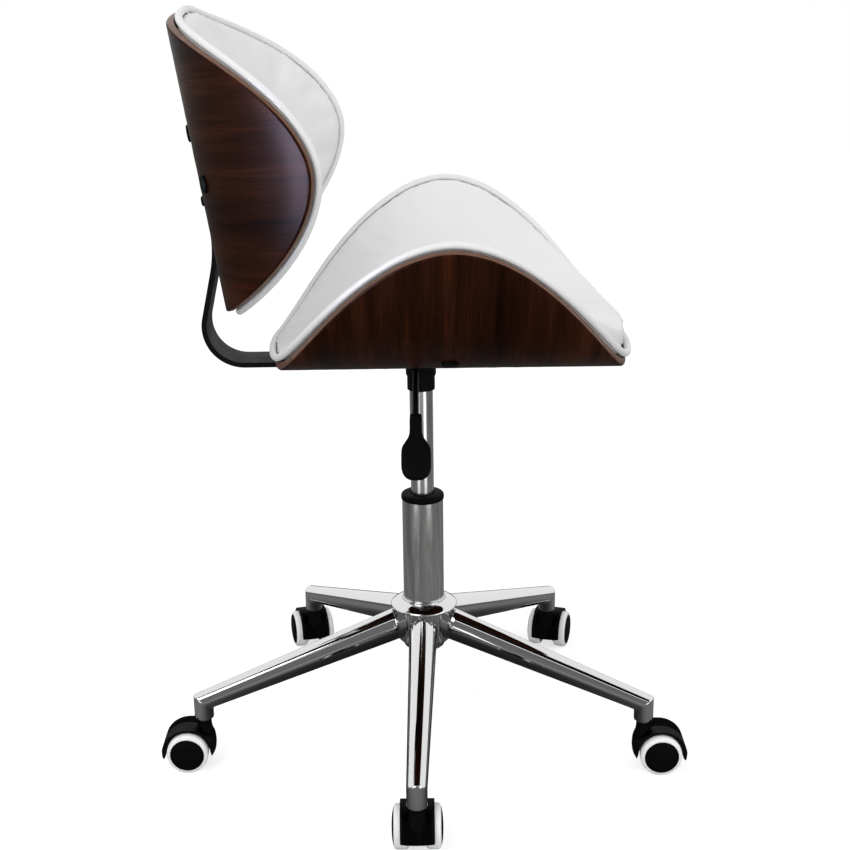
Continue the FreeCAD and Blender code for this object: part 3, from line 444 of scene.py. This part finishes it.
def ply_shell(name, place, half_girth, half_along, middle_along):
    """Shell spun flat, mapped for its grain, and bent over the mould."""
    work = spun_to_outline(ply_section, half_girth, half_along)
    sheet = work.loops.layers.uv.new("sheet")
    layer_lines = work.loops.layers.uv.new("layers")
    for face in work.faces:
        heights = [corner.vert.co.z for corner in face.loops]
        middle = sum(heights) / len(heights)
        face.material_index = int(face_band < middle < ply_thickness - face_band)
        for corner in face.loops:
            across, along, depth = corner.vert.co
            corner[sheet].uv = (across, along)
            corner[layer_lines].uv = (atan2(along, across) * layer_map_radius, depth)
    bend(work, place, middle_along)
    made = finished(work, name, walnut, ply_rim)
    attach(made, "seat")
    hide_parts(name.replace("_veneered", ""))


ply_shell("seat_shell_veneered", seat_place, *seat_outline)
ply_shell("back_shell_veneered", back_place, *back_outline)
dress(black_plastic, "shell_caps")


# Seat and back cushions: moulded foam in white leather-look cover, glued into the shells.
# Each is cut flat, filled, and laid over the bend. A white piping is sewn round its rim.
leather, tree, skin = new_finish("white_leather")
where = object_coordinates(tree)
cells = shader_node(tree, "ShaderNodeTexVoronoi", feature="DISTANCE_TO_EDGE", Vector=where,
                    Scale=620.0)
press = shader_node(tree, "ShaderNodeBump", Height=cells.outputs["Distance"],
                    Strength=0.12, Distance=0.0003)
tree.links.new(press.outputs["Normal"], skin.inputs["Normal"])
ramp_into(tree, noise_value(tree, where, Scale=6.0, Detail=3.0), skin.inputs["Base Color"],
          (0, 0.80, 0.80, 0.80), (1, 0.86, 0.86, 0.86))
placed_group(tree, patchy, "Value", skin.inputs["Roughness"], where,
             Scale=25.0, Low=0.42, High=0.55)

pad_gap, pad_rise, pad_steps, smooth_rounds = 0.0006, 0.42, 160, 6
pad_voxel, pad_swell, pad_sewn = 0.0045, 0.006, 0.010
roll_start, roll_span, roll_base = 0.53, 0.42, 0.008
welt_inset, welt_rise, welt_radius, welt_sides = -0.0020, 0.0044, 0.0041, 15


def pad_section(pad_edge, pad_middle):
    """Half section of a cushion laid flat: (inset, depth over the ply), foot to crown."""
    foot = [(inset, 0) for inset in floor_insets[:-1]]
    side = [(0.0055, 0.0), (0.0035, 0.0015), (0.0014, 0.005), (0.0008, 0.0085),
            (0.0014, pad_edge - 0.0015)]
    crown = []
    for share in (0.985, 0.97, 0.95, 0.92, 0.87, 0.78, 0.68, 0.56, 0.42, 0.28, 0.14, 0.0):
        rise = (1 - share ** 2) ** pad_rise
        crown.append((spin_radius * (1 - share), pad_edge + (pad_middle - pad_edge) * rise))
    return foot + side + crown


def swollen(made, name, pressure=4.0, frames=20):
    """Copy of a flat pad, remeshed and blown up a little by the cloth simulation."""
    copy = bpy.data.objects.new(name, made.data.copy())
    bpy.context.scene.collection.objects.link(copy)
    bpy.data.objects.remove(made)
    bpy.context.view_layer.objects.active = copy
    remesh = copy.modifiers.new("remesh", "REMESH")
    remesh.mode, remesh.voxel_size = "VOXEL", pad_voxel
    bpy.ops.object.modifier_apply(modifier="remesh")
    before = [point.co.copy() for point in copy.data.vertices]
    sewn = copy.vertex_groups.new(name="sewn")
    held = [point.index for point in copy.data.vertices if point.co.z < pad_sewn]
    sewn.add(held, 1.0, "REPLACE")
    cloth = copy.modifiers.new("cloth", "CLOTH")
    cloth.settings.vertex_group_mass = "sewn"
    cloth.settings.use_pressure = True
    cloth.settings.uniform_pressure_force = pressure
    cloth.settings.effector_weights.gravity = 0
    for number in range(1, frames + 1):
        bpy.context.scene.frame_set(number)
    bpy.ops.object.modifier_apply(modifier="cloth")
    for point, start in zip(copy.data.vertices, before):
        move = point.co - start
        if move.length > pad_swell:
            point.co = start + move.normalized() * pad_swell
    bpy.context.scene.frame_set(1)
    return copy


def cushion(name, place, pad_edge, pad_middle, front_roll, half_girth, half_along, middle_along):
    """Padded cushion in a shell, thicker by front_roll at its front end, with its piping."""
    work = spun_to_outline(pad_section(pad_edge, pad_middle), half_girth, half_along,
                           steps=pad_steps)
    flat = swollen(finished(work, name + "_flat"), name)
    work = bmesh.new()
    work.from_mesh(flat.data)
    for times in range(smooth_rounds):
        bmesh.ops.smooth_vert(work, verts=work.verts, factor=0.5,
                              use_axis_x=True, use_axis_y=True, use_axis_z=True)
    for point in work.verts:
        fore = min(max((-point.co.y / half_along - roll_start) / roll_span, 0), 1)
        height = max(point.co.z, 0)
        point.co.z = (height + front_roll * fore * fore * (3 - 2 * fore)
                      * min(height / roll_base, 1))
    bend(work, place, middle_along, ply_thickness + pad_gap)
    work.to_mesh(flat.data)
    work.free()
    flat.data.materials.clear()
    flat.data.materials.append(leather)
    flat.data.polygons.foreach_set("use_smooth", [True] * len(flat.data.polygons))
    finer = flat.modifiers.new("finer", "SUBSURF")
    finer.levels = finer.render_levels = 1
    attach(flat, "seat")
    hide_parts(name.replace("_padded", ""))
    turns = [radians(360 / welt_sides * index) for index in range(welt_sides)]
    ring = [(welt_inset + welt_radius * cos(turn), welt_rise + welt_radius * sin(turn))
            for turn in turns]
    work = spun_to_outline(ring, half_girth, half_along, closed=True)
    bend(work, place, middle_along, ply_thickness)
    welt = finished(work, name.replace("_padded", "_piping"), leather)
    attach(welt, "seat")


cushion("seat_cushion_padded", seat_place, 0.014, 0.034, 0.020, *seat_outline)
cushion("back_cushion_padded", back_place, 0.0165, 0.037, 0, *back_outline)


# Casters: a moulded hood over two wheels that share an axle, and a stem pushed into the socket.
# The hood is one black moulding: arch, front apron, web between the wheels and boss for the stem.
caster_turns = {1: 0, 2: -90, 3: -17, 4: 15.5, 5: 90}
hood_half_width, web_half_width, hood_edge, hood_slices = 0.0192, 0.007, 0.0007, 8
nose_bulge, nose_back, nose_length = 0.0022, 0.010, 0.014
boss_steps = 48


def caster_place(number):
    """Stem axis of a caster on the floor, with the caster turned as in the photo."""
    arm = radians(first_arm + 72 * (number - 1))
    return (Matrix.Translation((stem_circle * cos(arm), stem_circle * sin(arm), 0))
            @ Matrix.Rotation(radians(caster_turns[number]), 4, "Z"))


def arc_points(centre, radius, start, end, steps):
    """Points of an arc in a caster's side view, in millimetres."""
    turns = [radians(start + (end - start) * index / steps) for index in range(steps + 1)]
    return [(centre[0] + radius * cos(turn), centre[1] + radius * sin(turn)) for turn in turns]


hood_outline = (
    [(-7.8, 23.0), (-8.8, 19.6), (-9.5, 20.0), (-10.0, 25.0), (-9.6, 30.0), (-8.6, 35.0),
     (-6.7, 39.5), (-3.6, 43.5), (0.2, 47.0), (4.4, 50.3), (8.6, 52.6), (13.0, 54.0)]
    + arc_points((20.0, 22.2), 32.0, 90, 8, 14)
    + [(51.4, 21.0), (50.8, 17.6), (50.0, 16.2), (48.9, 16.6), (47.2, 19.6)]
    + arc_points((19.8, 25), 26.8, 4, 168, 24))
web_outline = [(-6, 26), (-6, 40), (4, 49), (20, 52), (32, 50), (41, 42), (45, 30), (43, 20),
               (20, 18.5), (2, 20)]
boss_section = [(0, 0.030), (0.0108, 0.030), (0.0106, 0.0440), (0.0094, 0.0490),
                (0.0086, 0.0540), (0.0084, 0.0606), (0.0081, 0.0616), (0.0074, 0.0621),
                (0, 0.0621)]


def add_plate(work, outline, half_width, nose=0.0, slices=1):
    """Adds a side-view outline made thick across the caster, in slices, with a rounded nose."""
    face = work.faces.new([work.verts.new((x / 1000, -half_width, z / 1000))
                           for x, z in outline])
    known = list(face.verts)
    for step in range(slices):
        grown = bmesh.ops.extrude_face_region(work, geom=[face])["geom"]
        points = [part for part in grown if isinstance(part, bmesh.types.BMVert)]
        face = [part for part in grown if isinstance(part, bmesh.types.BMFace)][0]
        bmesh.ops.translate(work, verts=points, vec=(0, 2 * half_width / slices, 0))
        known += points
    for point in known:
        frontness = min(max((nose_back - point.co.x) / nose_length, 0), 1)
        point.co.x -= nose * frontness * (1 - (point.co.y / half_width) ** 2)


for number in caster_turns:
    work = bmesh.new()
    add_plate(work, hood_outline, hood_half_width, nose=nose_bulge, slices=hood_slices)
    add_plate(work, web_outline, web_half_width)
    spun(work, boss_section, boss_steps)
    bmesh.ops.recalc_face_normals(work, faces=work.faces)
    bmesh.ops.transform(work, verts=work.verts, matrix=caster_place(number))
    hood = with_soft_edges(finished(work, "caster_%d_hood_moulded" % number, black_plastic),
                           hood_edge, 3)
    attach(hood, "caster_%d" % number)
    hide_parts("caster_%d_hood" % number)
    dress(bare_steel, "caster_%d_stem" % number, "caster_%d_axle" % number)


# Caster wheels: black moulded cores with a domed cap and a fine ring on it, and soft white tyres.
# A tyre sits on the rim of its core, and the two wheels of a caster turn on one axle.
wheel_trail, wheel_side, axle_height, wheel_steps = 0.0198, 0.0075, 0.025, 64
white_tyre, tree, skin = new_finish("white_tyre", Base_Color=(0.93, 0.93, 0.925, 1))
where = object_coordinates(tree)
placed_group(tree, patchy, "Value", skin.inputs["Roughness"], where,
             Scale=70.0, Low=0.35, High=0.5)
placed_group(tree, tooth, "Normal", skin.inputs["Normal"], where,
             Scale=500.0, Strength=0.15, Depth=0.0003)
core_section = [
    (0.00306, 0), (0.0194, 0), (0.0194, 0.0186), (0.0203, 0.0188), (0.0205, 0.0191),
    (0.0203, 0.0195), (0.0196, 0.0197), (0.0183, 0.0197), (0.0181, 0.0194), (0.0178, 0.0194),
    (0.0176, 0.0198), (0.0160, 0.0203), (0.0130, 0.0207), (0.0090, 0.0210), (0.0045, 0.0212),
    (0, 0.0212)]
tyre_section = [
    (0.0195, 0.0023), (0.0215, 0.0022), (0.0232, 0.0026), (0.0243, 0.0036), (0.0249, 0.0052),
    (0.0250, 0.0075), (0.0250, 0.0140), (0.0249, 0.0158), (0.0243, 0.0174), (0.0232, 0.0184),
    (0.0215, 0.0188), (0.0201, 0.0188), (0.0195, 0.0184)]
for number in caster_turns:
    for letter, side in (("a", 1), ("b", -1)):
        wheel = "caster_%d_wheel_%s" % (number, letter)
        inner_face = Matrix.Translation((wheel_trail, side * wheel_side, axle_height))
        place = caster_place(number) @ inner_face @ Matrix.Rotation(radians(-90 * side), 4, "X")
        for part, section, closed, finish, slot in (
                ("core", core_section, False, black_plastic, "black_plastic"),
                ("tyre", tyre_section, True, white_tyre, "white_tyre")):
            work = bmesh.new()
            spun(work, section, wheel_steps, closed)
            bmesh.ops.transform(work, verts=work.verts, matrix=place)
            bmesh.ops.recalc_face_normals(work, faces=work.faces)
            made = finished(work, "%s_%s_turned" % (wheel, part), finish)
            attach(made, wheel)
            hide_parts("%s_%s" % (wheel, part))


# Room: pale floor, white world and soft lamps, and the camera where the photograph was taken.
# A card over the floor, grey with a painted shadow in its middle under the chair, and a grey wall
# behind the camera only show in glossy surfaces.
floor_radius, card_radius, card_lift, wall_radius, round_sides = 6.0, 5.8, 0.0004, 5.0, 96
floor_glow, world_light, wall_front, wall_foot = 0.66, 0.68, -0.9, 0.1
world = bpy.data.worlds.new("studio")
bpy.context.scene.world = world
world.use_nodes = True
sky = world.node_tree
backdrop = sky.nodes["Background"]
backdrop.inputs["Color"].default_value = (1, 1, 1, 1)
rays = sky.nodes.new("ShaderNodeLightPath")
seen = shader_node(sky, "ShaderNodeMath", operation="MAXIMUM")
seen_through = shader_node(sky, "ShaderNodeMath", operation="MAXIMUM")
sky.links.new(rays.outputs["Is Camera Ray"], seen.inputs[0])
sky.links.new(rays.outputs["Is Glossy Ray"], seen.inputs[1])
sky.links.new(seen.outputs[0], seen_through.inputs[0])
sky.links.new(rays.outputs["Is Transmission Ray"], seen_through.inputs[1])
sky.links.new(ranged(sky, seen_through.outputs[0], To_Min=world_light, To_Max=1.0),
              backdrop.inputs["Strength"])

work = bmesh.new()
bmesh.ops.create_circle(work, cap_ends=True, segments=round_sides, radius=floor_radius)
floor_finish, tree, skin = new_finish("pale_floor", Roughness=0.9, Specular_IOR_Level=0.1)
speck = noise_value(tree, object_coordinates(tree), Scale=300.0)
ramp_into(tree, speck, skin.inputs["Base Color"], (0, 0.54, 0.54, 0.54), (1, 0.56, 0.56, 0.56))
rays = tree.nodes.new("ShaderNodeLightPath")
lift = shader_node(tree, "ShaderNodeMath", operation="MULTIPLY")
lift.inputs[1].default_value = floor_glow
tree.links.new(rays.outputs["Is Camera Ray"], lift.inputs[0])
skin.inputs["Emission Color"].default_value = (1, 1, 1, 1)
tree.links.new(lift.outputs[0], skin.inputs["Emission Strength"])
finished(work, "floor", floor_finish, smooth=False)


def glossy_only(made):
    """Keeps a piece of the room out of everything but glossy reflections."""
    made.visible_camera = made.visible_diffuse = False
    made.visible_shadow = made.visible_transmission = False


work = bmesh.new()
bmesh.ops.create_circle(work, cap_ends=True, segments=round_sides, radius=card_radius)
bmesh.ops.translate(work, verts=work.verts, vec=(0, 0, card_lift))
card_finish, tree, skin = new_finish("grey_card")
where = object_coordinates(tree)
reach = shader_node(tree, "ShaderNodeVectorMath", operation="LENGTH")
tree.links.new(where, reach.inputs[0])
share = shader_node(tree, "ShaderNodeMath", operation="DIVIDE")
share.inputs[1].default_value = card_radius
tree.links.new(reach.outputs["Value"], share.inputs[0])
sides = shader_node(tree, "ShaderNodeSeparateXYZ", Vector=where)
aside = ranged(tree, sides.outputs["Y"], From_Min=-2.0, From_Max=2.0)
glow = tree.nodes.new("ShaderNodeEmission")
both = tree.nodes.new("ShaderNodeMixShader")
# The card's grey darkens towards its middle as a painted shadow under the chair, seen only in
# reflections; it also dims towards both sides.
card_greys_painted_shadow = ((0, 0.012), (0.025, 0.02), (0.045, 0.045), (0.07, 0.17), (0.2, 0.23), (0.34, 0.3),
         (0.5, 0.45))
ramp_into(tree, share.outputs[0], glow.inputs["Color"],
          *[(place, grey, grey, grey) for place, grey in card_greys_painted_shadow])
levels = ((0.15, 0.3), (0.36, 1), (0.62, 1), (0.9, 0.12))
ramp_into(tree, aside, glow.inputs["Strength"],
          *[(place, level, level, level) for place, level in levels])
ramp_into(tree, share.outputs[0], both.inputs["Fac"], (0.2, 0, 0, 0), (1.0, 0.8, 0.8, 0.8))
tree.links.new(glow.outputs["Emission"], both.inputs[1])
tree.links.new(tree.nodes.new("ShaderNodeBsdfTransparent").outputs["BSDF"], both.inputs[2])
tree.links.new(both.outputs["Shader"], tree.nodes["Material Output"].inputs["Surface"])
card = finished(work, "floor_card", card_finish, smooth=False)
glossy_only(card)

work = bmesh.new()
bmesh.ops.create_uvsphere(work, u_segments=64, v_segments=32, radius=wall_radius)
kept_out = [face for face in work.faces if face.calc_center_median().x > wall_front
            or face.calc_center_median().z < wall_foot]
bmesh.ops.delete(work, geom=kept_out, context="FACES")
wall_finish, tree, skin = new_finish("grey_wall", Base_Color=(0, 0, 0, 1), Specular_IOR_Level=0)
where = object_coordinates(tree)
ramp_into(tree, noise_value(tree, where, Scale=0.4, Detail=1.0), skin.inputs["Emission Color"],
          (0, 0.12, 0.12, 0.12), (1, 0.2, 0.2, 0.2))
sides = shader_node(tree, "ShaderNodeSeparateXYZ", Vector=where)
dusk = ranged(tree, sides.outputs["Z"], From_Min=3.4, From_Max=3.75, To_Min=1.0, To_Max=0.04)
tree.links.new(dusk, skin.inputs["Emission Strength"])
wall = finished(work, "camera_side_wall", wall_finish)
glossy_only(wall)


def soft_lamp(name, place, target, size, watts, tone=(1, 1, 1), height=0, spread=180,
              glint=False):
    """Area lamp that the camera doesn't see; a glint lamp only shows in glossy surfaces."""
    light = bpy.data.lights.new(name, "AREA")
    light.shape, light.size, light.size_y = "RECTANGLE", size, height or size
    light.energy, light.color, light.spread = watts, tone, radians(spread)
    lamp = bpy.data.objects.new(name, light)
    bpy.context.scene.collection.objects.link(lamp)
    lamp.location = place
    lamp.rotation_euler = (Vector(target) - Vector(place)).to_track_quat("-Z", "Y").to_euler()
    lamp.visible_camera, lamp.visible_diffuse = False, not glint
    return lamp


# Key and fill light the whole chair, the low lamp its tyres. The others only show as glints:
# sheen on the back, strip on the base, stripes on the gas cylinder.
soft_lamp("key_lamp", (-1.6, 1.2, 2.3), (0, 0, 0.5), 1.4, 22)
soft_lamp("fill_lamp", (-1.2, -2.0, 1.5), (0, 0, 0.5), 1.6, 12)
soft_lamp("sheen_lamp", (-0.80, 0.70, 0.64), (-0.2, 0.12, 0.73), 0.20, 1.5,
          tone=(0.65, 0.70, 1.0), spread=30, glint=True)
soft_lamp("strip_lamp", (-1.27, 0, 1.55), (0, 0, 0.15), 3.4, 1.7, height=0.14, glint=True)
low_lamp = soft_lamp("low_lamp", (-1.5, 0, 0.35), (0, 0, 0.05), 1.2, 0.45, height=0.3, spread=60)
low_lamp.visible_glossy = False
stripe_reach, stripe_height = 0.9, 0.125
for side, turn in (("left", radians(34)), ("right", radians(-34))):
    lamp_place = (-stripe_reach * cos(turn), stripe_reach * sin(turn), stripe_height)
    soft_lamp("stripe_lamp_" + side, lamp_place, (0, 0, stripe_height), 0.42, 0.42,
              height=0.24, glint=True)

camera_place = Vector((-1.67499, -0.00137, 0.94625))
pitch, roll, yaw, focal = 0.3109, -0.0126, 0.0016, 1469.2445
photo_width, sensor_width = 850, 36
forward = Vector((cos(yaw) * cos(pitch), -sin(yaw) * cos(pitch), -sin(pitch)))
level_right = Vector((-sin(yaw), -cos(yaw), 0))
level_up = level_right.cross(forward)
right = level_right * cos(roll) + level_up * sin(roll)
up = level_up * cos(roll) - level_right * sin(roll)
lens = bpy.data.cameras.new("photo_camera")
lens.sensor_width = sensor_width
lens.lens = focal / photo_width * sensor_width
camera = bpy.data.objects.new("photo_camera", lens)
bpy.context.scene.collection.objects.link(camera)
camera.matrix_world = Matrix((
    (right.x, up.x, -forward.x, camera_place.x),
    (right.y, up.y, -forward.y, camera_place.y),
    (right.z, up.z, -forward.z, camera_place.z),
    (0, 0, 0, 1)))
bpy.context.scene.camera = camera
bpy.context.scene.view_settings.view_transform = "Standard"
